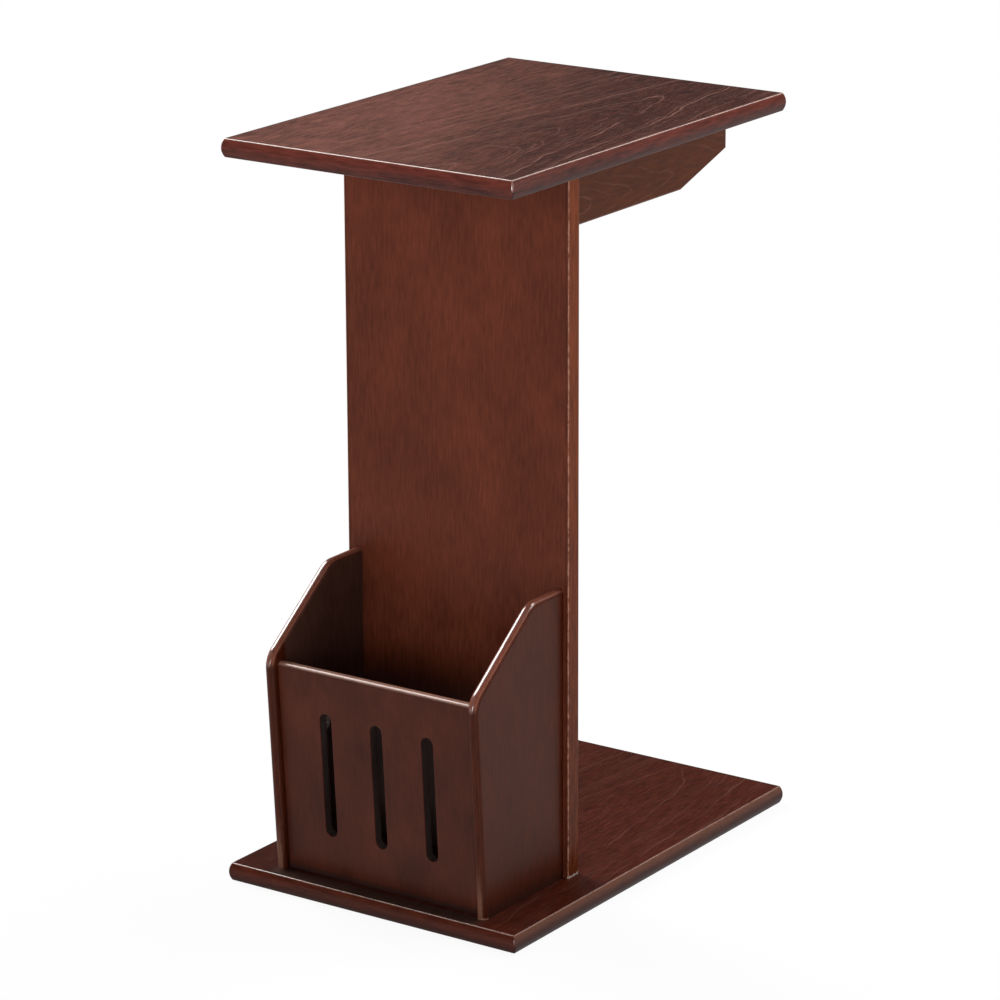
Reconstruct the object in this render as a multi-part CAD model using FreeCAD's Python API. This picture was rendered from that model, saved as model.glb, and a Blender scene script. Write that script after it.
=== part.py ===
import FreeCAD, Part
import math
import os

from FreeCAD import Placement, Rotation, Vector

# Magazine table: a flat top and a flat base joined by one upright board, with an open magazine rack
# on the front of the upright. Sizes are in millimetres. The origin is the middle of the base's
# underside, +X runs along the front edge, +Y to the back and +Z up. The table is the same on both
# sides of X = 0, so each joint is worked out on the right and mirrored.

# Whole table
table_height = 610.0

# Base board; its edges bulge by the crown between their arrises
base_width = 280.0
base_depth = 402.0
base_thick = 15.0
base_crown = 2.2
base_arris_radius = 1.2

# Top board
top_width = 272.0
top_depth = 391.0
top_thick = 15.0
top_crown = 2.2
top_arris_radius = 1.2

# Upright board; its reach is from the base's front edge back to its own front face
upright_width = 214.0
upright_thick = 15.0
upright_reach = 124.0
upright_edge_radius = 1.5

# Braces under the top, with the lower back corner cut away; the inset is from the upright's edge
brace_thick = 15.0
brace_length = 221.0
brace_height = 50.0
brace_end_height = 28.0
brace_taper = 68.0
brace_inset = 5.0
brace_edge_radius = 1.5

# Rack sides; the front edge leans out, and a slope joins its upper end to the ledge at the upright
rack_thick = 9.0
rack_inset = 5.0
rack_height = 242.0
rack_ledge = 42.0
rack_front_rise = 182.0
rack_foot_depth = 110.0
rack_lean = 3.7
rack_brow_radius = 22.0
rack_nose_radius = 20.0
rack_edge_radius = 4.3

# Rack front, set back from the front edges of the sides, with upright round-ended slots
panel_thick = 9.0
panel_recess = 7.0
panel_height = 177.0
panel_edge_radius = 3.5
slot_count = 3
slot_pitch = 49.0
slot_width = 11.0
slot_length = 105.0
slot_rise = 36.5
slot_rim_radius = 0.8

# Fits shared by the fasteners
glue_gap = 0.1
glue_room = 1.0
thread_gap = 0.05
bolt_gap = 0.25

# Thick dowels, for the top, the braces and the base; a brace's dowel stops a wall short of its cam
dowel_diameter = 8.0
dowel_chamfer = 0.8
dowel_seat = 10.0
dowel_reach = 20.0
top_dowel_spread = 50.0
base_dowel_spread = 160.0
brace_dowel_rise = 9.5
brace_dowel_wall = 2.0
brace_dowel_setback = 32.0

# Thin dowels, for the rack
peg_diameter = 5.0
peg_chamfer = 0.6
peg_seat = 8.0
peg_reach = 16.0
side_peg_floor = 3.0
back_peg_rises = (32.0, 195.0)
foot_peg_setback = 18.0
panel_peg_rises = (30.0, 142.0)

# Bolts up through the base into barrel nuts in the upright's back face
base_bolt_diameter = 6.0
base_bolt_spread = 100.0
base_head_diameter = 15.0
base_head_thick = 3.0
base_head_sink = 1.5
base_head_gap = 0.5
base_key_across = 4.5
base_nut_diameter = 10.0
base_nut_setback = 40.0
base_nut_floor = 3.0

# Bolts through the upright into barrel nuts in the inner faces of the rack sides
rack_bolt_diameter = 4.0
rack_bolt_rise = 108.0
rack_head_diameter = 10.0
rack_head_thick = 2.2
rack_key_across = 3.0
rack_nut_diameter = 11.0
rack_nut_setback = 52.0
rack_nut_floor = 1.5

# Driver recesses in bolt heads, nuts, cams and screws; slots span a share of the face they are cut in
hex_depth = 1.4
slot_share = 0.62
driver_width = 1.2
driver_depth = 1.0

# Cam locks and their bolts, for the top and the braces
cam_diameter = 15.0
cam_floor = 3.0
cam_setback = 24.0
cam_throw = 4.5
cam_throat = 8.0
cam_bolt_diameter = 6.0
cam_bolt_seat = 11.0
cam_neck_diameter = 3.6
cam_neck_length = 3.2
cam_head_diameter = 6.6
cam_head_length = 3.6
upright_cam_spread = 100.0
brace_cam_setbacks = (70.0, 140.0)

# Countersunk screws up through the base into the rack
screw_diameter = 3.6
screw_bite = 22.0
screw_point = 5.0
screw_tip_diameter = 0.9
screw_head_diameter = 7.4
screw_head_depth = 2.2
screw_sink = 0.4
panel_screw_spread = 130.0

# Directions, and how near two places count as the same
RIGHT = Vector(1, 0, 0)
BACK = Vector(0, 1, 0)
UP = Vector(0, 0, 1)
NEAR = 0.001

# Levels and faces that follow from the sizes above
base_top = base_thick
top_under = table_height - top_thick
upright_front = upright_reach - base_depth / 2
upright_back = upright_front + upright_thick
upright_mid = upright_front + upright_thick / 2
brace_outer = upright_width / 2 - brace_inset
brace_inner = brace_outer - brace_thick
brace_mid = brace_outer - brace_thick / 2
brace_end = upright_back + brace_length
brace_dowel_reach = cam_setback - cam_diameter / 2 - glue_gap - glue_room - brace_dowel_wall
rack_outer = upright_width / 2 - rack_inset
rack_inner = rack_outer - rack_thick
rack_mid = rack_outer - rack_thick / 2
rack_top = base_top + rack_height
rack_foot = upright_front - rack_foot_depth
panel_foot = rack_foot + panel_recess / math.cos(math.radians(rack_lean))
panel_lean = Placement(Vector(), Rotation(RIGHT, rack_lean), Vector(0, panel_foot, base_top))


def edges_along(shape, direction):
    """Straight edges of a shape that run along one axis."""
    straight = [edge for edge in shape.Edges if isinstance(edge.Curve, Part.Line)]
    return [edge for edge in straight
            if abs(edge.tangentAt(edge.FirstParameter).dot(direction)) > 1 - NEAR]


def side_arrises(board, inner, outer):
    """Edges that lie in a board's two large faces, at X = inner and X = outer."""
    flat = [edge for edge in board.Edges if edge.BoundBox.XLength < NEAR]
    return [edge for edge in flat
            if any(abs(edge.BoundBox.XMin - face) < NEAR for face in (inner, outer))]


def box_between(corner, opposite):
    """Box with its faces along the axes, from two opposite corners."""
    low = Vector(*[min(pair) for pair in zip(corner, opposite)])
    size = [abs(far - near) for near, far in zip(corner, opposite)]
    return Part.makeBox(*size, low)


def rod(start, direction, diameter, length):
    """Round bar from a start point."""
    return Part.makeCylinder(diameter / 2, length, start, direction)


def both(shapes):
    """Shapes on the right together with their mirror images on the left."""
    return shapes + [shape.mirror(Vector(), RIGHT) for shape in shapes]


def joined(shapes):
    """Shapes that touch, made into one clean solid."""
    return shapes[0].fuse(shapes[1:]).removeSplitter()


def groove(centre, along, normal, length, width, depth):
    """Straight cutter sunk into a face whose outward normal is given."""
    half = along * (length / 2) + along.cross(normal) * (width / 2)
    return box_between(centre - half - normal * depth, centre + half)


def hex_recess(centre, normal, across, depth):
    """Six-sided key socket sunk into a face whose outward normal is given."""
    turn = Rotation(UP, normal)
    corner_radius = across / math.sqrt(3)
    angles = [math.radians(60 * index) for index in range(7)]
    ring = [Vector(math.cos(angle), math.sin(angle), 0) * corner_radius for angle in angles]
    corners = [centre + turn.multVec(point) for point in ring]
    return Part.Face(Part.makePolygon(corners)).extrude(normal * -depth)


def crowned_bar(width, length, thick, bottom, crown):
    """Bar along Y whose left and right edges bulge by the crown."""
    end = -length / 2
    flat = width / 2 - crown
    top = bottom + thick
    middle = bottom + thick / 2
    corners = [Vector(-flat, end, bottom), Vector(flat, end, bottom),
               Vector(flat, end, top), Vector(-flat, end, top)]
    right_bulge = Part.Arc(corners[1], Vector(width / 2, end, middle), corners[2])
    left_bulge = Part.Arc(corners[3], Vector(-width / 2, end, middle), corners[0])
    outline = Part.Wire([
        Part.makeLine(corners[0], corners[1]),
        right_bulge.toShape(),
        Part.makeLine(corners[2], corners[3]),
        left_bulge.toShape(),
    ])
    return Part.Face(outline).extrude(BACK * length)


def crowned_board(width, depth, thick, bottom, crown, arris_radius):
    """Flat board with bulging edges, mitred corners and eased arrises."""
    lengthwise = crowned_bar(width, depth, thick, bottom, crown)
    crosswise = crowned_bar(depth, width, thick, bottom, crown).rotated(Vector(), UP, 90)
    board = lengthwise.common(crosswise).removeSplitter()
    return board.makeFillet(arris_radius, board.Edges)


def dowel_joint(points, direction, diameter, chamfer, seat, reach):
    """Dowels across a joint plane, and the glue holes for them in both boards."""
    pins = []
    bores = []
    for point in points:
        pin = rod(point - direction * seat, direction, diameter, seat + reach)
        rims = [edge for edge in pin.Edges if isinstance(edge.Curve, Part.Circle)]
        pins.append(pin.makeChamfer(chamfer, rims))
        bore_start = point - direction * (seat + glue_room)
        bores.append(rod(bore_start, direction, diameter + 2 * glue_gap, seat + reach + 2 * glue_room))
    return both(pins), both(bores)


def barrel_nut(face_centre, normal, diameter, length, bolt_depth, bolt_axis, bolt_diameter):
    """Round nut set into a face, tapped across for its bolt, and the pocket that it sits in."""
    body = rod(face_centre, normal * -1, diameter, length)
    tapped = bolt_diameter + 2 * thread_gap
    thread_start = face_centre - normal * bolt_depth - bolt_axis * diameter
    thread = rod(thread_start, bolt_axis, tapped, 2 * diameter)
    slot = groove(face_centre, bolt_axis, normal, diameter * slot_share, driver_width, driver_depth)
    pocket = rod(face_centre, normal * -1, diameter + 2 * glue_gap, length + glue_gap)
    return body.cut([thread, slot]), pocket


def cam_joint(point, into_board, normal, board_thick):
    """Cam lock and bolt: the bolt stands in one board and runs into the edge of the next, at its mid
    thickness; the cam is let into that board's face. Returns the lock, the bolt and the bores."""
    axis_point = point + into_board * cam_setback
    face_centre = axis_point + normal * (board_thick / 2)
    depth = board_thick - cam_floor
    throat = rod(axis_point + into_board * cam_throw, into_board * -1, cam_throat, cam_diameter)
    cross = [groove(face_centre, along, normal, cam_diameter * slot_share, driver_width, driver_depth)
             for along in (into_board, into_board.cross(normal))]
    lock = rod(face_centre, normal * -1, cam_diameter, depth).cut([throat] + cross)
    shank_length = cam_setback - cam_neck_length
    bolt_start = point - into_board * cam_bolt_seat
    bolt = joined([
        rod(bolt_start, into_board, cam_bolt_diameter, cam_bolt_seat + shank_length),
        rod(point + into_board * shank_length, into_board, cam_neck_diameter, cam_neck_length),
        rod(axis_point, into_board, cam_head_diameter, cam_head_length),
    ])
    bores = [
        rod(bolt_start, into_board, cam_bolt_diameter + 2 * thread_gap, cam_bolt_seat),
        rod(point, into_board, cam_throat, cam_setback),
        rod(face_centre, normal * -1, cam_diameter + 2 * glue_gap, depth + glue_gap),
    ]
    return lock, bolt, bores


def foot_screw(x, y):
    """Countersunk screw up through the base into the rack, and its hole."""
    foot = Vector(x, y, screw_sink)
    shank_top = base_top + screw_bite - screw_point
    head = Part.makeCone(screw_head_diameter / 2, screw_diameter / 2, screw_head_depth, foot, UP)
    neck = foot + UP * screw_head_depth
    shank = rod(neck, UP, screw_diameter, shank_top - neck.z)
    tip_start = Vector(x, y, shank_top)
    tip = Part.makeCone(screw_diameter / 2, screw_tip_diameter / 2, screw_point, tip_start, UP)
    cross = [groove(foot, along, UP * -1, screw_head_diameter * slot_share, driver_width, driver_depth)
             for along in (RIGHT, BACK)]
    screw = joined([head, shank, tip]).cut(cross)
    hole_diameter = screw_diameter + 2 * thread_gap
    sink_radius = screw_head_diameter / 2 + thread_gap
    hole = joined([
        rod(Vector(x, y, 0), UP, 2 * sink_radius, screw_sink),
        Part.makeCone(sink_radius, hole_diameter / 2, screw_head_depth, foot, UP),
        rod(neck, UP, hole_diameter, base_top + screw_bite - neck.z),
    ])
    return screw, hole


# Dowels that place the boards
top_dowels, top_dowel_bores = dowel_joint(
    [Vector(top_dowel_spread / 2, upright_mid, top_under),
     Vector(brace_mid, brace_end - brace_dowel_setback, top_under)],
    UP * -1, dowel_diameter, dowel_chamfer, dowel_seat, dowel_reach)
base_dowels, base_dowel_bores = dowel_joint(
    [Vector(base_dowel_spread / 2, upright_mid, base_top)],
    UP, dowel_diameter, dowel_chamfer, dowel_seat, dowel_reach)
brace_dowels, brace_dowel_bores = dowel_joint(
    [Vector(brace_mid, upright_back, top_under - brace_height + brace_dowel_rise)],
    BACK, dowel_diameter, dowel_chamfer, dowel_seat, brace_dowel_reach)
rack_back_dowels, rack_back_bores = dowel_joint(
    [Vector(rack_mid, upright_front, base_top + rise) for rise in back_peg_rises],
    BACK * -1, peg_diameter, peg_chamfer, peg_seat, peg_reach)
rack_foot_dowels, rack_foot_bores = dowel_joint(
    [Vector(rack_mid, upright_front - foot_peg_setback, base_top),
     Vector(rack_mid, rack_foot + foot_peg_setback, base_top)],
    UP, peg_diameter, peg_chamfer, peg_seat, peg_reach)
rack_front_dowels, rack_front_bores = dowel_joint(
    [panel_lean.multVec(Vector(rack_inner, panel_foot + panel_thick / 2, base_top + rise))
     for rise in panel_peg_rises],
    RIGHT * -1, peg_diameter, peg_chamfer, rack_thick - side_peg_floor, peg_reach)

# Bolts from under the base into barrel nuts in the upright
base_bolt_x = base_bolt_spread / 2
base_head_seat = base_head_sink + base_head_thick
base_nut_level = base_top + base_nut_setback
base_nut, base_nut_pocket = barrel_nut(
    Vector(base_bolt_x, upright_back, base_nut_level), BACK, base_nut_diameter,
    upright_thick - base_nut_floor, upright_thick / 2, UP, base_bolt_diameter)
base_bolt_start = Vector(base_bolt_x, upright_mid, base_head_sink)
base_bolt_top = base_nut_level + base_nut_diameter / 2
base_bolt = joined([
    rod(base_bolt_start, UP, base_head_diameter, base_head_thick),
    rod(base_bolt_start, UP, base_bolt_diameter, base_bolt_top - base_head_sink),
]).cut(hex_recess(base_bolt_start, UP * -1, base_key_across, hex_depth))
base_bolt_room = base_bolt_top + glue_room - base_head_sink
base_bolt_bores = both([
    rod(Vector(base_bolt_x, upright_mid, 0), UP, base_head_diameter + 2 * base_head_gap, base_head_seat),
    rod(base_bolt_start, UP, base_bolt_diameter + 2 * bolt_gap, base_bolt_room),
    base_nut_pocket,
])

# Bolts through the upright into barrel nuts in the rack sides
rack_bolt_level = base_top + rack_bolt_rise
rack_nut_back = upright_front - rack_nut_setback
rack_nut, rack_nut_pocket = barrel_nut(
    Vector(rack_inner, rack_nut_back, rack_bolt_level), RIGHT * -1, rack_nut_diameter,
    rack_thick - rack_nut_floor, rack_thick / 2, BACK, rack_bolt_diameter)
rack_bolt_end = Vector(rack_mid, upright_back + rack_head_thick, rack_bolt_level)
rack_bolt_length = rack_head_thick + upright_thick + rack_nut_setback + rack_nut_diameter / 2
rack_bolt = joined([
    rod(rack_bolt_end, BACK * -1, rack_head_diameter, rack_head_thick),
    rod(rack_bolt_end, BACK * -1, rack_bolt_diameter, rack_bolt_length),
]).cut(hex_recess(rack_bolt_end, BACK, rack_key_across, hex_depth))
rack_bolt_bores = both([
    rod(rack_bolt_end, BACK * -1, rack_bolt_diameter + 2 * bolt_gap, rack_bolt_length + glue_room),
    rack_nut_pocket,
])

# Cam locks: the top to the upright, each brace to the upright, and the top to each brace
cam_joints = [
    cam_joint(Vector(upright_cam_spread / 2, upright_mid, top_under), UP * -1, BACK, upright_thick),
    cam_joint(Vector(brace_mid, upright_back, top_under - cam_setback), BACK, RIGHT * -1, brace_thick),
]
for setback in brace_cam_setbacks:
    cam_spot = Vector(brace_mid, upright_back + setback, top_under)
    cam_joints.append(cam_joint(cam_spot, UP * -1, RIGHT * -1, brace_thick))
cam_locks = both([lock for lock, bolt, bores in cam_joints])
cam_bolts = both([bolt for lock, bolt, bores in cam_joints])
cam_bores = both([bore for lock, bolt, bores in cam_joints for bore in bores])

# Screws from under the base: one into each side of the rack, two into its front
panel_mid = panel_foot + panel_thick / 2
foot_screws = [
    foot_screw(rack_mid, (upright_front + rack_foot) / 2),
    foot_screw(panel_screw_spread / 2, panel_mid),
]
rack_foot_screws = both([screw for screw, hole in foot_screws])
screw_bores = both([hole for screw, hole in foot_screws])


def base_board():
    board = crowned_board(base_width, base_depth, base_thick, 0, base_crown, base_arris_radius)
    return board.cut(base_dowel_bores + base_bolt_bores + rack_foot_bores + screw_bores)


def table_top():
    board = crowned_board(top_width, top_depth, top_thick, top_under, top_crown, top_arris_radius)
    return board.cut(top_dowel_bores + cam_bores)


def upright_panel():
    corner = Vector(-upright_width / 2, upright_front, base_top)
    blank = Part.makeBox(upright_width, upright_thick, top_under - base_top, corner)
    board = blank.makeFillet(upright_edge_radius, edges_along(blank, UP))
    bores = top_dowel_bores + base_dowel_bores + brace_dowel_bores + rack_back_bores
    return board.cut(bores + base_bolt_bores + rack_bolt_bores + cam_bores)


def brace():
    """Right brace: a bar on edge, its lower back corner cut away and its free arrises eased."""
    end_under = top_under - brace_end_height
    outline = [
        Vector(brace_inner, upright_back, top_under),
        Vector(brace_inner, upright_back, top_under - brace_height),
        Vector(brace_inner, brace_end - brace_taper, top_under - brace_height),
        Vector(brace_inner, brace_end, end_under),
        Vector(brace_inner, brace_end, top_under),
    ]
    board = Part.Face(Part.makePolygon(outline + outline[:1])).extrude(RIGHT * brace_thick)
    free = [edge for edge in side_arrises(board, brace_inner, brace_outer)
            if edge.CenterOfMass.z < top_under - NEAR and edge.CenterOfMass.y > upright_back + NEAR]
    board = board.makeFillet(brace_edge_radius, free)
    return board.cut(top_dowel_bores + brace_dowel_bores + cam_bores)


def rack_side():
    """Right side of the rack: ledge, slope and leaning front edge rounded over, its foot flat on the base."""
    nose_forward = rack_front_rise * math.tan(math.radians(rack_lean))
    outline = [
        Vector(rack_inner, upright_front, base_top),
        Vector(rack_inner, upright_front, rack_top),
        Vector(rack_inner, upright_front - rack_ledge, rack_top),
        Vector(rack_inner, rack_foot - nose_forward, base_top + rack_front_rise),
        Vector(rack_inner, rack_foot, base_top),
    ]
    board = Part.Face(Part.makePolygon(outline + outline[:1])).extrude(RIGHT * rack_thick)
    for corner, radius in ((outline[2], rack_brow_radius), (outline[3], rack_nose_radius)):
        meeting = [edge for edge in edges_along(board, RIGHT)
                   if abs(edge.CenterOfMass.y - corner.y) + abs(edge.CenterOfMass.z - corner.z) < NEAR]
        board = board.makeFillet(radius, meeting)
    free = [edge for edge in side_arrises(board, rack_inner, rack_outer)
            if edge.CenterOfMass.z > base_top + NEAR and edge.CenterOfMass.y < upright_front - NEAR]
    board = board.makeFillet(rack_edge_radius, free)
    peg_bores = rack_back_bores + rack_foot_bores + rack_front_bores
    return board.cut(peg_bores + rack_bolt_bores + screw_bores)


def slot_cutter(x):
    """Upright round-ended slot through the rack front before it leans."""
    radius = slot_width / 2
    face = panel_foot - panel_thick
    low = Vector(x, face, base_top + slot_rise + radius)
    high = Vector(x, face, base_top + slot_rise + slot_length - radius)
    through = 3 * panel_thick
    middle = box_between(low - RIGHT * radius, high + RIGHT * radius + BACK * through)
    return joined([middle, rod(low, BACK, slot_width, through), rod(high, BACK, slot_width, through)])


def rack_front():
    """Slotted board made standing straight, then leaned out and cut level where it meets the base."""
    below = panel_thick
    corner = Vector(-rack_inner, panel_foot, base_top - below)
    blank = Part.makeBox(2 * rack_inner, panel_thick, panel_height + below, corner)
    top_arrises = [edge for edge in edges_along(blank, RIGHT) if edge.CenterOfMass.z > base_top]
    board = blank.makeFillet(panel_edge_radius, top_arrises)
    middle_index = (slot_count - 1) / 2
    board = board.cut([slot_cutter((index - middle_index) * slot_pitch) for index in range(slot_count)])
    slot_top = base_top + slot_rise + slot_length
    rims = [edge for edge in board.Edges
            if edge.BoundBox.YLength < NEAR and edge.BoundBox.ZMin > base_top
            and edge.BoundBox.ZMax < slot_top + NEAR and abs(edge.CenterOfMass.x) < rack_inner - NEAR]
    board = board.makeFillet(slot_rim_radius, rims)
    leaned = board.transformed(panel_lean.toMatrix())
    floor = box_between(Vector(-base_width, panel_foot - base_depth, -base_depth),
                        Vector(base_width, panel_foot + base_depth, base_top))
    return leaned.cut([floor] + rack_front_bores + screw_bores)


right_brace = brace()
right_side = rack_side()
pieces = {
    "base_board": base_board(),
    "upright_panel": upright_panel(),
    "table_top": table_top(),
    "brace_left": right_brace.mirror(Vector(), RIGHT),
    "brace_right": right_brace,
    "rack_left_side": right_side.mirror(Vector(), RIGHT),
    "rack_right_side": right_side,
    "rack_front": rack_front(),
    "base_bolts": Part.makeCompound(both([base_bolt])),
    "base_barrel_nuts": Part.makeCompound(both([base_nut])),
    "rack_bolts": Part.makeCompound(both([rack_bolt])),
    "rack_barrel_nuts": Part.makeCompound(both([rack_nut])),
    "cam_locks": Part.makeCompound(cam_locks),
    "cam_bolts": Part.makeCompound(cam_bolts),
    "top_dowels": Part.makeCompound(top_dowels),
    "base_dowels": Part.makeCompound(base_dowels),
    "brace_dowels": Part.makeCompound(brace_dowels),
    "rack_back_dowels": Part.makeCompound(rack_back_dowels),
    "rack_foot_dowels": Part.makeCompound(rack_foot_dowels),
    "rack_front_dowels": Part.makeCompound(rack_front_dowels),
    "rack_foot_screws": Part.makeCompound(rack_foot_screws),
}

os.makedirs("parts", exist_ok=True)
for name, shape in pieces.items():
    shape.exportStep(f"parts/{name}.step")
    print(f"{name}: {len(shape.Solids)} solids, {shape.Volume / 1000:.2f} cm3, valid {shape.isValid()}")
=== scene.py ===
import math

import bpy
from mathutils import Matrix, Vector


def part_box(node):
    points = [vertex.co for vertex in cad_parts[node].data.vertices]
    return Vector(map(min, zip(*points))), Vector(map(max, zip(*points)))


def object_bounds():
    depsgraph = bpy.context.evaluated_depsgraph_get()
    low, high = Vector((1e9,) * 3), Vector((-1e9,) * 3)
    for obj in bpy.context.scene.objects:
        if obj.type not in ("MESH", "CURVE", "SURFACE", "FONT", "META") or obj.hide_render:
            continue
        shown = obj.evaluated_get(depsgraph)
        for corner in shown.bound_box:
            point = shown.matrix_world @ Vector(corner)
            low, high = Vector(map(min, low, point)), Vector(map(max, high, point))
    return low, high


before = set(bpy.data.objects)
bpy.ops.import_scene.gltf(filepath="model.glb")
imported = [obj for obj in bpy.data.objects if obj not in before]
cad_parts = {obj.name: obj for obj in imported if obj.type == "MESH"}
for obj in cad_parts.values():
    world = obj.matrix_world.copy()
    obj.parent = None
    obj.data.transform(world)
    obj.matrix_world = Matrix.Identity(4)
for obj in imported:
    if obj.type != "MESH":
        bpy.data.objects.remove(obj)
cad_low, cad_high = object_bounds()

# Base board
# A flat board of veneered fibreboard that stands on the floor. Its four edges are lipped with solid
# wood, crowned and mitred at the corners, then stained dark cherry and lacquered satin.


class Wire:
    """One output among a finish's nodes. Sums with it add Math nodes, and node() adds any other."""

    def __init__(self, tree, socket=None):
        self.tree = tree
        self.socket = socket

    def node(self, kind, settings=None, sockets=None, out=0):
        """Adds a node: its settings first, then the values or links of its sockets."""
        made = self.tree.nodes.new(kind)
        for name, value in (settings or {}).items():
            setattr(made, name, value)
        for name, value in (sockets or {}).items():
            if isinstance(value, Wire):
                self.tree.links.new(value.socket, made.inputs[name])
            else:
                made.inputs[name].default_value = value
        return Wire(self.tree, made.outputs[out] if made.outputs else None)

    def beside(self, out):
        """Another output of the node that this one comes from."""
        return Wire(self.tree, self.socket.node.outputs[out])

    def math(self, operation, *terms):
        return self.node("ShaderNodeMath", {"operation": operation}, dict(enumerate(terms)))

    def __add__(self, other):
        return self.math("ADD", self, other)

    __radd__ = __add__

    def __sub__(self, other):
        return self.math("SUBTRACT", self, other)

    def __rsub__(self, other):
        return self.math("SUBTRACT", other, self)

    def __mul__(self, other):
        return self.math("MULTIPLY", self, other)

    __rmul__ = __mul__

    def __truediv__(self, other):
        return self.math("DIVIDE", self, other)

    def __rtruediv__(self, other):
        return self.math("DIVIDE", other, self)

    def __pow__(self, other):
        return self.math("POWER", self, other)

    def __rpow__(self, other):
        return self.math("POWER", other, self)

    def __abs__(self):
        return self.math("ABSOLUTE", self)

    def least(self, other):
        return self.math("MINIMUM", self, other)

    def most(self, other):
        return self.math("MAXIMUM", self, other)

    def ease(self, low, high):
        """0 at low and below, 1 at high and beyond, smooth between; low may be the greater of the two."""
        ends = {"Value": self, "From Min": low, "From Max": high}
        return self.node("ShaderNodeMapRange", {"interpolation_type": "SMOOTHSTEP"}, ends)

    def mix(self, first, second):
        """The first colour where this is 0, the second where it is 1."""
        return self.node("ShaderNodeMix", {"data_type": "RGBA"}, {0: self, 6: first, 7: second}, out=2)


def new_finish(name):
    """An empty material, and the place on the part's own axes that its nodes start from, in metres."""
    material = bpy.data.materials.new(name)
    material.use_nodes = True
    material.node_tree.nodes.clear()
    place = Wire(material.node_tree).node("ShaderNodeTexCoord", out="Object")
    x = place.node("ShaderNodeSeparateXYZ", None, {"Vector": place})
    return material, x, x.beside("Y"), x.beside("Z")


def dress(finish, *nodes):
    """Puts a finish on parts that came with the frame."""
    for node in nodes:
        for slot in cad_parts[node].material_slots:
            slot.material = finish


def between(amount, first, second):
    """A value that goes from the first to the second as the amount goes from 0 to 1."""
    return first + (second - first) * amount


def speckle(across, along, through, wide, long, detail=2.0, seed=0.0):
    """Noise about 0.5 in flecks about so wide across the grain and so long with it, in metres."""
    spot = across.node("ShaderNodeCombineXYZ", None,
                       {0: across / wide + seed, 1: along / long + seed, 2: through / wide})
    fleck = {"Vector": spot, "Scale": 1.0, "Detail": detail, "Roughness": 0.6}
    return across.node("ShaderNodeTexNoise", None, fleck)


def growth_lines(across, along, through, heart, depth, taper, pitch, seed):
    """Pale growth lines of a flat-sliced leaf: a cone of rings cut off its middle, so that they nest in
    peaks over the heart and run on almost straight beside it. Some rings show and most hardly do."""
    drift_reach = 0.016
    wave_reach = 0.007
    jitter_reach = 0.0018
    line_half = 0.0013
    line_core = 0.0003
    drift = speckle(across, along, through, wide=0.070, long=0.18, detail=1.0, seed=seed) - 0.5
    wave = speckle(across, along, through, wide=0.030, long=0.040, detail=1.0, seed=seed + 5) - 0.5
    jitter = speckle(across, along, through, wide=0.006, long=0.014, detail=3.0, seed=seed + 7) - 0.5
    offset = across - heart
    cone = (offset * offset + depth * depth) ** 0.5
    wander = drift * drift_reach + wave * wave_reach + jitter * jitter_reach
    ring = (cone + along * taper + wander) / pitch
    number = ring.math("FLOOR", ring)
    strength = ring.node("ShaderNodeTexWhiteNoise", {"noise_dimensions": "1D"}, {"W": number + seed}) ** 2
    lean = offset / cone
    steep = (lean * lean + taper * taper) ** 0.5
    gap = abs(ring - number - 0.5) * pitch / steep
    showing = speckle(across, along, through, wide=0.018, long=0.08, seed=seed + 3).ease(0.34, 0.58)
    return gap.ease(line_half, line_core) * strength * showing


def veneer_tone(across, along, through, seed, streaky=1.0, cloudy=1.0):
    """Lightness of a stained leaf, about 0.5: fine fibre, broader streaks and clouds of stain."""
    fibre_show = 2.5
    streak_show = 0.25
    fibre = speckle(across, along, through, wide=0.0022, long=0.018, seed=seed) - 0.5
    streak = speckle(across, along, through, wide=0.0060, long=0.060, seed=seed + 11) - 0.5
    cloud = speckle(across, along, through, wide=0.055, long=0.085, detail=3.0, seed=seed + 23) - 0.5
    return 0.5 + streaky * (fibre * fibre_show + streak * streak_show) + cloud * cloudy


def pore_marks(across, along, through, seed):
    """Short fine pores along the grain, 1 in a pore."""
    pitted = speckle(across, along, through, wide=0.0006, long=0.006, detail=1.0, seed=seed + 31)
    return pitted.ease(0.58, 0.74)


def stain(middle, spread):
    """The darkest and the lightest tone of a stain: redder and paler than its middle colour."""
    redder = (1.00, 0.94, 0.92)
    paler = (1.00, 1.06, 1.08)
    dark = [part * (1 - spread) * hue for part, hue in zip(middle, redder)] + [1]
    light = [part * (1 + spread) * hue for part, hue in zip(middle, paler)] + [1]
    return dark, light


def toned(mask, shades, others):
    """Both tones of a stain, gone over to those of another where the mask is 1."""
    return [mask.mix(first, second) for first, second in zip(shades, others)]


def lacquered(tone, pore, rub_and_highlight, gloss, shades, line=None, polish=0.2, satin=0.36, sheen=0.09, tooth=0.3):
    """Stained wood under satin lacquer: streaks and pale lines in the stain, open pores, and pale arrises,
    which are wear together with a painted highlight.
    Satin is the roughness of the flat, polish that of the glossy arrises, tooth how far grain is felt."""
    pale_line = (0.300, 0.140, 0.108, 1)
    # pale wood for wear, and a painted highlight where it is laid along the arrises
    worn_and_highlight_colour = (0.500, 0.250, 0.170, 1)
    grain_depth = 0.0003
    colour = (tone - pore * 0.10).mix(*shades)
    height = tone * 0.5 - pore * 0.6
    if line is not None:
        colour = line.mix(colour, pale_line)
        height = height + line * 0.3
    colour = rub_and_highlight.mix(colour, worn_and_highlight_colour)
    rough = satin + (tone - 0.5) * 0.10 + pore * 0.10 - gloss * 0.06
    relief = tone.node("ShaderNodeBump", None, {"Strength": tooth, "Distance": grain_depth, "Height": height})
    shader = tone.node("ShaderNodeBsdfPrincipled", None, {
        "Base Color": colour, "Roughness": rough, "Specular IOR Level": sheen, "Normal": relief,
        "Coat Weight": 0.005 + gloss * 0.95, "Coat Roughness": polish, "Coat IOR": 2.6})
    tone.node("ShaderNodeOutputMaterial", None, {"Surface": shader})


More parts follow.
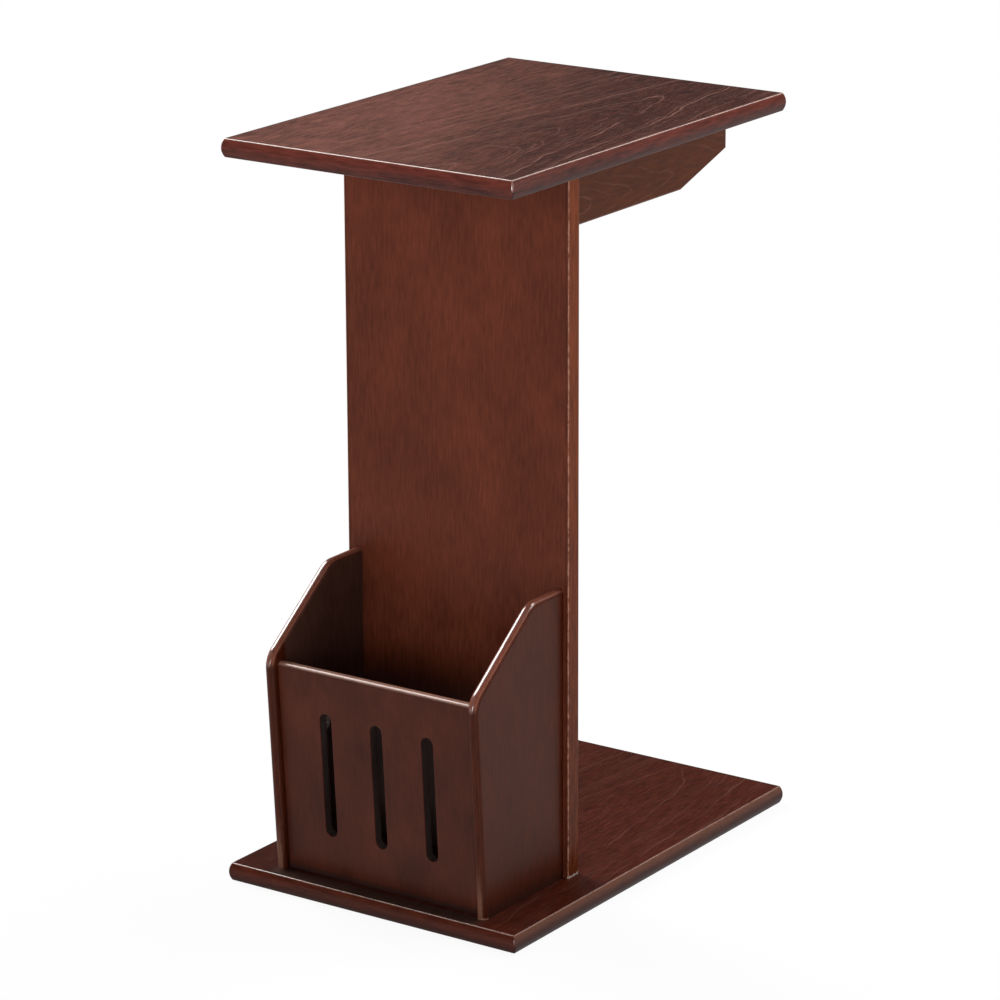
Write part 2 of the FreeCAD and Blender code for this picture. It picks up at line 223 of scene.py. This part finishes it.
edge_crown = 0.0022
strip_back = -0.183
strip_half = 0.100


def lipped_finish(name, node, leaf, shaded_leaf, lipping, seed, heart, figure, upper_light, contact_shade_level, sharp, shoulder_highlight_level,
                  satin, sheen, tooth, dust_and_shade=None):
    """Veneered board with bulging lipped edges: the leaf runs front to back, the lipping along each edge.
    The arrises at the front and the right are glossy and painted pale, wear together with a painted
    highlight, and the lipping at the left and the back is painted dark, a painted shade along the outline.
    The flat beside each arris is painted a little darker, a painted shade. The leaf goes from one stain
    at its front left to a darker one at its back right, a painted falloff of the light, and its lines
    peak over the heart. Figure is how clear they are, upper light how much paler the lipping is painted
    upward (painted light), contact shade level how dark its foot is painted (painted shade), sharp how
    bright the arrises are, and the shoulder highlight level how pale the lipping is painted under the
    right one (a painted highlight). A dust and shade stain, where given, goes on the strip before the
    rack: dust together with painted shade."""
    low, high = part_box(node)
    half = (high - low) / 2
    middle = (high + low) / 2
    finish, x, y, z = new_finish(name)
    rise = z - middle.z
    side_gap = half.x - abs(x - middle.x)
    end_gap = half.y - abs(y - middle.y)
    flat_gap = side_gap.least(end_gap) - edge_crown
    skin = half.z - abs(rise)
    on_end = (side_gap - end_gap).ease(-0.0002, 0.0002)
    on_edge = skin.ease(0.00005, 0.0004)
    on_face = 1 - on_edge
    upper = rise.ease(-0.002, 0.002)
    front_and_right = between(on_end, (x - middle.x).ease(-0.01, 0.01), (middle.y - y).ease(-0.01, 0.01))
    # The lowest part of the lipping is painted darker: a painted contact shade by the floor.
    contact_shade = (z - low.z).ease(0.008, 0.001) * on_edge * contact_shade_level
    out_of_contact_shade = 1 - contact_shade

    face = veneer_tone(x, y, z, seed)
    long_lip = veneer_tone(x, y, z, seed + 41, streaky=0.6, cloudy=0.6) - 0.2
    cross_lip = veneer_tone(y, x, z, seed + 43, streaky=0.6, cloudy=0.6)
    # The lipping is painted paler upward and darker downward: painted light.
    lip = between(on_end, long_lip, cross_lip) + rise * upper_light
    # The flat beside each arris is painted darker: a painted shade next to the arris highlight.
    beside = flat_gap.ease(0.0030, 0.0012) * on_face
    # The left and back lipping and its border are painted dark: a painted shade along the outline.
    outline_shade = flat_gap.ease(0.0025, 0.0010) * (1 - front_and_right)
    tone = between(on_edge, face, lip) * out_of_contact_shade - contact_shade * 0.2 - beside * 0.12 - outline_shade * 0.6

    scuff = speckle(x, y, z, wide=0.012, long=0.012, detail=3.0, seed=seed)
    arris = flat_gap.ease(0.0011, 0.0008) * skin.ease(0.0009, 0.0006)
    mitre = abs(side_gap - end_gap).ease(0.0012, 0.0007) * on_edge
    # Pale marks on the front and right arrises and on the tops of the mitres are wear together with a painted
    # highlight; under the right arris the lipping's upper shoulder is painted pale too, a painted highlight.
    bright = (arris * between(upper, 0.06, 1.0)).most(mitre * upper * sharp) * front_and_right * out_of_contact_shade
    shoulder_highlight = rise.ease(-0.001, 0.0075) * on_edge * (1 - on_end) * front_and_right * shoulder_highlight_level
    wear_and_highlight = (bright * (0.25 + 0.3 * sharp) * scuff.ease(0.2, 0.6)).most(shoulder_highlight)
    shine = bright * (0.6 + 0.4 * sharp) * between(on_end, 0.6 * sharp, 1.0)
    gloss = (shine + on_edge * 0.03).least(1.0) * out_of_contact_shade

    # The leaf's stain goes darker from front left to back right: a painted falloff of the light.
    leaf_light_falloff = (x + y * 0.45).ease(low.x, high.x * 0.7)
    shades = toned(on_edge, toned(leaf_light_falloff, leaf, shaded_leaf), lipping)
    figured = (x - middle.x).ease(-0.11, 0.03) * on_face * figure
    # Before the rack the base is painted a darker, greyer tone: dust together with painted shade.
    if dust_and_shade:
        in_strip = y.ease(strip_back, strip_back - 0.003) * on_face
        in_strip = in_strip * abs(x).ease(strip_half + 0.008, strip_half - 0.006)
        shades = toned(in_strip, shades, dust_and_shade)
        figured = figured * (1 - in_strip * 0.8)
    pore = pore_marks(x, y, z, seed) * on_face
    fleck = speckle(x, y, z, wide=0.0013, long=0.012, detail=1.0, seed=seed + 51).ease(0.56, 0.72)
    rings = growth_lines(x, y, z, heart, depth=0.038, taper=0.10, pitch=0.0024, seed=seed)
    line = (rings * figured).most(fleck * on_face * figure * 0.35)
    lacquered(tone, pore, wear_and_highlight, gloss, shades, line, satin=satin, sheen=sheen, tooth=tooth)
    return finish


base_leaf = stain((0.058, 0.0086, 0.0032), 0.34)
base_lipping = stain((0.066, 0.0115, 0.0045), 0.5)
# dust together with painted shade on the strip before the rack
strip_dust_and_shade = stain((0.048, 0.0235, 0.0175), 0.3)
stained_base = lipped_finish(
    "stained_base", "base_board", base_leaf, base_leaf, base_lipping, seed=2.0, heart=0.05, figure=0.24,
    upper_light=15.0, contact_shade_level=1.0, sharp=0.3, shoulder_highlight_level=0.28, satin=0.38, sheen=0.07, tooth=0.3, dust_and_shade=strip_dust_and_shade)
dress(stained_base, "base_board")

# Upright
# One tall board that carries the top, veneered with the grain upright. Its long edges are banded with
# a paler strip, eased, and chipped at the foot. Barrel nuts and cams are let into its back face.
upright_low, upright_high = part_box("upright_panel")
upright_half = (upright_high - upright_low) / 2
upright_middle = (upright_high + upright_low) / 2
upright_radius = 0.0015
foot_chip = 0.0022
bare_board = (0.52, 0.42, 0.35, 1)
leaf_stain = stain((0.114, 0.0258, 0.0122), 0.5)
band_stain = stain((0.146, 0.0300, 0.0082), 0.4)
band_light_level = 0.33
band_light_fade = 1.1
pocket_dust_and_light = stain((0.140, 0.0980, 0.0880), 0.3)
pocket_height = 0.165
pocket_fade = 0.07
pocket_half = 0.093

stained_upright, x, y, z = new_finish("stained_upright")
edge_gap = upright_half.x - abs(x)
face_gap = upright_half.y - abs(y - upright_middle.y)
on_band = edge_gap.ease(0.0014, 0.0009)
# The face beside each band is painted darker: a painted shade by the arris.
beside_band = edge_gap.ease(0.0042, 0.0026) * (1 - on_band)
in_pocket = abs(x).ease(pocket_half + 0.0005, pocket_half) * y.ease(upright_middle.y, upright_low.y)
leaf_tone = veneer_tone(x, z, y, seed=61.0, streaky=0.35, cloudy=0.9) - beside_band * 0.2
# The band is painted paler upward and darker downward: painted light.
band_tone = veneer_tone(y, z, x, seed=67.0, streaky=0.8, cloudy=0.6) + (z - band_light_level) * band_light_fade
# Inside the rack the face is painted darker downward: a painted shade.
upright_tone = between(on_band, leaf_tone, band_tone) - in_pocket * z.ease(0.27, 0.20) * 0.14
upright_pore = pore_marks(x, z, y, seed=61.0) * (1 - on_band)

chips = speckle(x, z, y, wide=0.002, long=0.005, detail=3.0, seed=5.0) - 0.5
upright_arris = edge_gap.most(face_gap)
# Pale marks along every arris: wear together with a painted highlight.
upright_rub_highlight = (upright_arris + chips * 0.0020).ease(0.0010, 0.0004) * 0.65
upright_gloss = upright_arris.ease(upright_radius, upright_radius * 0.7) * 0.08
chipped = (z - upright_low.z + chips * 0.004).ease(foot_chip, foot_chip * 0.5) * on_band
# Lowest in the rack the face is painted a pale dusty grey: dust together with painted light in the dim
# pocket.
pocket_low = in_pocket * z.ease(pocket_height, pocket_height - pocket_fade)
upright_shades = toned(pocket_low, leaf_stain, pocket_dust_and_light)
upright_shades = toned(on_band, upright_shades, band_stain)
upright_shades = toned(chipped, upright_shades, (bare_board, bare_board))
lacquered(upright_tone, upright_pore, upright_rub_highlight, upright_gloss, upright_shades, sheen=0.065)
dress(stained_upright, "upright_panel")

# Rack sides
# Two thin boards that stand between the base and the upright, with a ledge, a slope and a leaning
# front edge, all rounded over. They are pegged to the upright and screwed from under the base.
side_low, side_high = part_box("rack_right_side")
brow_radius = 0.022
nose_radius = 0.020
side_ledge = 0.042
side_nose_drop = 0.060
side_lean = math.radians(3.7)
side_front_rise = 0.182
side_foot_depth = 0.110
brow = Vector((0, side_high.y - side_ledge, side_high.z))
nose = Vector((0, side_high.y - side_foot_depth - side_front_rise * math.tan(side_lean),
               side_high.z - side_nose_drop))
slope_angle = math.atan2(brow.z - nose.z, brow.y - nose.y)
side_stain = stain((0.070, 0.0127, 0.0043), 0.5)
inner_dust_and_light = stain((0.095, 0.0400, 0.0280), 0.5)
cap_lit_stain = stain((0.205, 0.0600, 0.0360), 0.5)
# a dark stain for painted contact shade at the feet
foot_shade_stain = stain((0.022, 0.0110, 0.0095), 0.3)


def rounded(gap, y, z, corner, first, second, radius):
    """Depth below an outline with one corner rounded, between edges whose inward normals are given."""
    centre = corner + (first + second) * (radius / (1 + first.dot(second)))
    forward = y - centre.y
    upward = z - centre.z
    past = [(forward * along.y + upward * along.z).ease(-0.0002, 0.0002)
            for along in (first * first.dot(second) - second, second * second.dot(first) - first)]
    return between(past[0] * past[1], gap, radius - (forward * forward + upward * upward) ** 0.5)


stained_rack_side, x, y, z = new_finish("stained_rack_side")
ledge_gap = brow.z - z
slope_gap = (y - brow.y) * math.sin(slope_angle) - (z - brow.z) * math.cos(slope_angle)
front_gap = (y - nose.y) * math.cos(side_lean) + (z - nose.z) * math.sin(side_lean)
ledge_in = Vector((0, 0, -1))
slope_in = Vector((0, math.sin(slope_angle), -math.cos(slope_angle)))
front_in = Vector((0, math.cos(side_lean), math.sin(side_lean)))
side_rim = ledge_gap.least(slope_gap).least(front_gap)
side_rim = rounded(side_rim, y, z, brow, ledge_in, slope_in, brow_radius)
side_rim = rounded(side_rim, y, z, nose, slope_in, front_in, nose_radius)
side_middle = (side_high.x + side_low.x) / 2
side_skin = (side_high.x - side_low.x) / 2 - abs(abs(x) - side_middle)
side_arris = side_rim.most(side_skin)
side_height = z - side_low.z
faces_right = (x - x.math("SIGN", x) * side_middle).ease(0.0, 0.001)
side_upper = (z - nose.z).ease(-0.010, -0.002)
on_ledge = (y - brow.y).ease(-0.004, 0.010)

side_scuff = speckle(x, y, z, wide=0.006, long=0.006, detail=3.0, seed=9.0) - 0.5
# A pale line on the right-facing arrises, stronger on the upper edges: wear together with a painted
# highlight.
side_rub_highlight = (side_arris + side_scuff * 0.0006).ease(0.0017, 0.0012) * faces_right
toe_rub = (front_gap + side_scuff * 0.0012).ease(0.0010, 0.0002) * side_height.ease(0.050, 0.0)
toe_chip = (side_height + side_scuff * 0.003).ease(0.0018, 0.0008) * front_gap.ease(0.0060, 0.0045)
toe_chip = toe_chip * x.ease(0.0, 0.001)
side_wear_and_highlight = (side_rub_highlight * between(side_upper, 0.05, 0.35)).most(toe_rub * 0.25).most(toe_chip * 0.5)
side_crest = side_skin.ease(0.0029, 0.0033) * (1 - on_ledge * 0.85)
at_brow = abs(y - brow.y + 0.006).ease(0.011, 0.006) * side_rim.ease(0.0018, 0.0012) * faces_right
side_gloss = side_crest.most(at_brow) * side_upper

# Inside the rack the faces are painted a paler, greyer stain: dust together with painted light in its shade;
# lowest down they take the pocket's painted grey.
side_inside = (abs(x) - side_low.x).ease(0.0006, 0.0003) * front_gap.ease(0.0165, 0.0185)
side_depth = side_inside * z.ease(pocket_height, pocket_height - pocket_fade)
# The foot of each side is painted dark: a painted contact shade.
side_foot_shade = side_height.ease(0.016, 0.0) * side_rim.ease(0.0030, 0.0060) * 0.55
# The rounded rims of the ledge, slope and nose are painted a much paler stain: painted light on the upward
# faces.
side_cap_light = side_rim.ease(0.0030, 0.0012) * side_upper
side_shades = toned(side_inside, side_stain, inner_dust_and_light)
side_shades = toned(side_depth, side_shades, pocket_dust_and_light)
side_shades = toned(side_foot_shade, side_shades, foot_shade_stain)
side_shades = toned(side_cap_light, side_shades, cap_lit_stain)
# Below the nose the front edge is painted darker: a painted shade.
beside_rim = side_rim.ease(0.0040, 0.0020) * (1 - side_upper)
side_tone = veneer_tone(y, z, x, seed=83.0, streaky=0.35, cloudy=0.5) - beside_rim * 0.22
side_pore = pore_marks(y, z, x, seed=83.0)
lacquered(side_tone, side_pore, side_wear_and_highlight, side_gloss, side_shades, polish=0.14)
dress(stained_rack_side, "rack_left_side", "rack_right_side")

# Rack front
# A thin slotted board held between the rack's sides on pegs, leaning out with their front edges, its
# top edge and the rims of its three slots rounded over.
front_low, front_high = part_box("rack_front")
front_thick = 0.009
front_height = 0.177
front_radius = 0.0035
slot_pitch = 0.049
slot_half = 0.0055
slot_rise = 0.0365
slot_length = 0.105
slot_low = slot_rise + slot_half
slot_high = slot_rise + slot_length - slot_half
front_foot = front_high.y - front_thick / math.cos(side_lean)
front_stain = stain((0.062, 0.0146, 0.0080), 0.5)
slot_dust_and_light = stain((0.048, 0.0330, 0.0310), 0.3)

stained_rack_front, x, y, z = new_finish("stained_rack_front")
up = (z - front_low.z) * math.cos(side_lean) - (y - front_foot) * math.sin(side_lean)
back = (y - front_foot) * math.cos(side_lean) + (z - front_low.z) * math.sin(side_lean)
front_skin = front_thick / 2 - abs(back - front_thick / 2)
top_gap = front_height - up
slot_number = (x / slot_pitch).math("ROUND", x / slot_pitch)
slot_across = abs(x - slot_number * slot_pitch)
slot_along = (up - slot_high).most(slot_low - up).most(0.0)
slot_gap = (slot_across * slot_across + slot_along * slot_along) ** 0.5 - slot_half
slot_wall = slot_gap.ease(0.0012, 0.0004) * front_skin.ease(0.0006, 0.0016)
# The foot of the front is painted dark: a painted contact shade.
front_foot_shade = up.ease(0.0075, 0.0005) * 0.9
# The slots' walls are painted a pale dusty grey: dust together with painted light in them.
front_shades = toned(slot_wall, front_stain, slot_dust_and_light)
front_shades = toned(front_foot_shade, front_shades, foot_shade_stain)
front_tone = veneer_tone(x, up, back, seed=97.0, streaky=0.25, cloudy=1.5)
front_pore = pore_marks(x, up, back, seed=97.0)
front_scuff = speckle(x, y, z, wide=0.006, long=0.006, detail=3.0, seed=3.0) - 0.5
# The top edge is painted pale: a painted highlight that also reads as wear.
front_rub_highlight = (top_gap + front_scuff * 0.0004).ease(0.0021, 0.0009) * 0.6
front_gloss = top_gap.ease(front_radius * 0.8, front_radius * 0.4) * 0.6
lacquered(front_tone, front_pore, front_rub_highlight, front_gloss, front_shades, polish=0.3)
dress(stained_rack_front, "rack_front")

# Braces
# Two bars on edge under the top, each with its lower back corner cut away and its free arrises
# eased. Cam locks in their inner faces draw them to the upright and the top.
brace_low, brace_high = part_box("brace_right")
brace_middle = (brace_high.x + brace_low.x) / 2
brace_radius = 0.0015
brace_stain = stain((0.076, 0.0150, 0.0018), 0.5)

stained_brace, x, y, z = new_finish("stained_brace")
brace_skin = (brace_high.x - brace_low.x) / 2 - abs(abs(x) - brace_middle)
brace_rim = (z - brace_low.z).least(brace_high.y - y)
brace_arris = brace_rim.most(brace_skin)
brace_scuff = speckle(x, y, z, wide=0.005, long=0.005, detail=3.0, seed=2.0) - 0.5
brace_rub = (brace_arris + brace_scuff * 0.001).ease(0.0009, 0.0004) * 0.3
brace_gloss = brace_arris.ease(brace_radius, brace_radius * 0.7) * 0.3
brace_tone = veneer_tone(z, y, x, seed=103.0, streaky=0.5, cloudy=0.8)
brace_pore = pore_marks(z, y, x, seed=103.0)
brace_curl = growth_lines(z, y, x, heart=0.56, depth=0.006, taper=0.2, pitch=0.006, seed=7.0) * 0.22
lacquered(brace_tone, brace_pore, brace_rub, brace_gloss, brace_stain, brace_curl, sheen=0.08)
dress(stained_brace, "brace_left", "brace_right")

# Top board
# Like the base but a little smaller, with a flat-sliced leaf that is painted paler on the left and darker
# on the right, a painted falloff of the light, and shows its peaks near the right edge. Dowels place it on
# the upright and the braces, and cams hold it down.
top_lit_leaf = stain((0.155, 0.0490, 0.0325), 0.5)
top_shaded_leaf = stain((0.047, 0.0066, 0.0020), 0.5)
top_lipping = stain((0.098, 0.0185, 0.0112), 0.6)
stained_top = lipped_finish(
    "stained_top", "table_top", top_lit_leaf, top_shaded_leaf, top_lipping, seed=17.0, heart=0.062, figure=0.75,
    upper_light=65.0, contact_shade_level=0.0, sharp=1.0, shoulder_highlight_level=0.0, satin=0.50, sheen=0.12, tooth=0.9)
dress(stained_top, "table_top")

# Metal fittings
# Bolts, barrel nuts, cam bolts and screws of zinc-plated steel, and cam locks of die-cast zinc. The rack's
# nuts are dull and painted a near-white matt, painted light where they sit in the rack's shade. They are
# sunk in the boards, and one nut shows through the rack's left slot.
for finish_name, colour, metallic, roughness, nodes in (
        ("plated_steel", (0.60, 0.59, 0.57), 1.0, 0.30,
         ("base_bolts", "base_barrel_nuts", "rack_bolts", "cam_bolts", "rack_foot_screws")),
        # dull nuts painted near white: painted light in the rack's shade
        ("dull_plate_painted_light", (0.90, 0.88, 0.84), 0.0, 0.55, ("rack_barrel_nuts",)),
        ("cast_zinc", (0.50, 0.50, 0.50), 1.0, 0.48, ("cam_locks",))):
    metal, x, y, z = new_finish(finish_name)
    bloom = speckle(x, y, z, wide=0.004, long=0.004, detail=3.0, seed=1.0)
    grit = speckle(x, y, z, wide=0.0004, long=0.0004, seed=4.0)
    metal_relief = x.node("ShaderNodeBump", None, {"Strength": 0.2, "Distance": 0.0001, "Height": grit})
    metal_shader = x.node("ShaderNodeBsdfPrincipled", None, {
        "Base Color": (bloom * 0.8 + grit * 0.2).mix(*stain(colour, 0.25)), "Metallic": metallic,
        "Roughness": roughness + (bloom - 0.5) * 0.3, "Normal": metal_relief})
    x.node("ShaderNodeOutputMaterial", None, {"Surface": metal_shader})
    dress(metal, *nodes)

# Dowels
# Short beech pegs that place the boards before the bolts and cams draw them tight, unstained and
# hidden in their holes.
beech_stain = stain((0.45, 0.26, 0.11), 0.35)

beech, x, y, z = new_finish("bare_beech")
beech_fleck = speckle(x, z, y, wide=0.0006, long=0.004, seed=6.0)
beech_cloud = speckle(x, y, z, wide=0.01, long=0.01, seed=8.0)
beech_relief = x.node("ShaderNodeBump", None, {"Strength": 0.3, "Distance": 0.0002, "Height": beech_fleck})
beech_shader = x.node("ShaderNodeBsdfPrincipled", None, {
    "Base Color": (beech_fleck * 0.7 + beech_cloud * 0.3).mix(*beech_stain),
    "Roughness": 0.6 + (beech_fleck - 0.5) * 0.2, "Normal": beech_relief})
x.node("ShaderNodeOutputMaterial", None, {"Surface": beech_shader})
dress(beech, "top_dowels", "base_dowels", "brace_dowels", "rack_back_dowels", "rack_foot_dowels",
      "rack_front_dowels")

# Floor
# A plain pale studio floor, which isn't part of the table, wide enough to fill the view. The camera
# sees it paler than the lamps alone make it, with the table's shadow still on it.
floor_reach = 9.0
floor_drop = 0.0003
floor_glow = 0.93
floor_grey = (0.76, 0.76, 0.76, 1)
floor_white = (0.98, 0.98, 0.98, 1)
corners = [(-floor_reach, -floor_reach), (floor_reach, -floor_reach),
           (floor_reach, floor_reach), (-floor_reach, floor_reach)]
floor_mesh = bpy.data.meshes.new("floor")
floor_mesh.from_pydata([(across, along, -floor_drop) for across, along in corners], [], [(0, 1, 2, 3)])
floor = bpy.data.objects.new("floor", floor_mesh)
bpy.context.scene.collection.objects.link(floor)

floor_paint, x, y, z = new_finish("floor_paint")
seen = x.node("ShaderNodeLightPath", out="Is Camera Ray")
seen = seen.most(seen.beside("Is Glossy Ray")).most(seen.beside("Is Transmission Ray"))
dull = x.node("ShaderNodeBsdfDiffuse", None, {"Color": floor_grey})
bright = x.node("ShaderNodeBsdfDiffuse", None, {"Color": floor_white})
paint = x.node("ShaderNodeMixShader", None, {0: seen, 1: dull, 2: bright})
glow = x.node("ShaderNodeEmission", None, {"Color": (1, 1, 1, 1), "Strength": 1.0})
shown = x.node("ShaderNodeMixShader", None, {0: seen * floor_glow, 1: paint, 2: glow})
x.node("ShaderNodeOutputMaterial", None, {"Surface": shown})
floor_mesh.materials.append(floor_paint)

# Lamps
# Soft boxes and a dim grey room. Two boxes hang far off behind and on the left, with a strip below
# the left one and a low panel before the front, and one more box stands near the top on the right.
far_lamps = {
    "back_box": (160.0, 46.0, 40.0, 0.42),
    "left_box": (261.0, 44.0, 36.0, 0.60),
    "left_strip": (251.0, 18.0, 36.0, 0.45),
    "front_panel": (8.0, 5.0, 36.0, 0.60),
}


def out_from(azimuth, elevation):
    """The direction so far round from the front and so far up, in degrees."""
    turn = math.radians(azimuth)
    rise = math.radians(elevation)
    return Vector((math.sin(turn) * math.cos(rise), -math.cos(turn) * math.cos(rise), math.sin(rise)))


def hang(name, lamp, place, towards):
    """Hangs a lamp at a place, facing away from the direction that it shines from."""
    holder = bpy.data.objects.new(name, lamp)
    holder.location = place
    holder.rotation_euler = towards.to_track_quat("Z", "Y").to_euler()
    bpy.context.scene.collection.objects.link(holder)


for name, (azimuth, elevation, spread, level) in far_lamps.items():
    lamp = bpy.data.lights.new(name, "SUN")
    lamp.angle = math.radians(spread)
    lamp.energy = math.pi * level
    hang(name, lamp, Vector(), out_from(azimuth, elevation))

right_box_way = out_from(110.0, 10.0)
right_box_distance = 0.80
right_box_width = 0.40
right_box_radiance = 6.5
right_box = bpy.data.lights.new("right_box", "AREA")
right_box.shape = "DISK"
right_box.size = right_box_width
right_box.energy = right_box_radiance * math.pi * math.pi * right_box_width ** 2 / 4
hang("right_box", right_box, Vector((0, 0, cad_high.z)) + right_box_way * right_box_distance, right_box_way)

room_grey = (0.12, 0.12, 0.12, 1)
room = bpy.data.worlds.new("room")
room.use_nodes = True
room.node_tree.nodes["Background"].inputs["Color"].default_value = room_grey
bpy.context.scene.world = room

# Camera
# A long lens from the front right and above, level but for a fifth of a degree.
camera_aim = Vector((-0.00641, -0.00652, 0.29425))
camera_distance = 3.54501
camera_azimuth = 34.5536
camera_elevation = 16.8004
camera_roll = math.radians(-0.2122)
lens = bpy.data.cameras.new("camera")
lens.lens = 158.255
lens.sensor_width = 36.0
camera = bpy.data.objects.new("camera", lens)
bpy.context.scene.collection.objects.link(camera)
backward = out_from(camera_azimuth, camera_elevation)
level_view = (-backward).to_track_quat("-Z", "Y").to_matrix()
rolled = level_view @ Matrix.Rotation(camera_roll, 3, "Z")
camera.matrix_world = Matrix.Translation(camera_aim + backward * camera_distance) @ rolled.to_4x4()
bpy.context.scene.camera = camera
bpy.context.scene.view_settings.view_transform = "Standard"
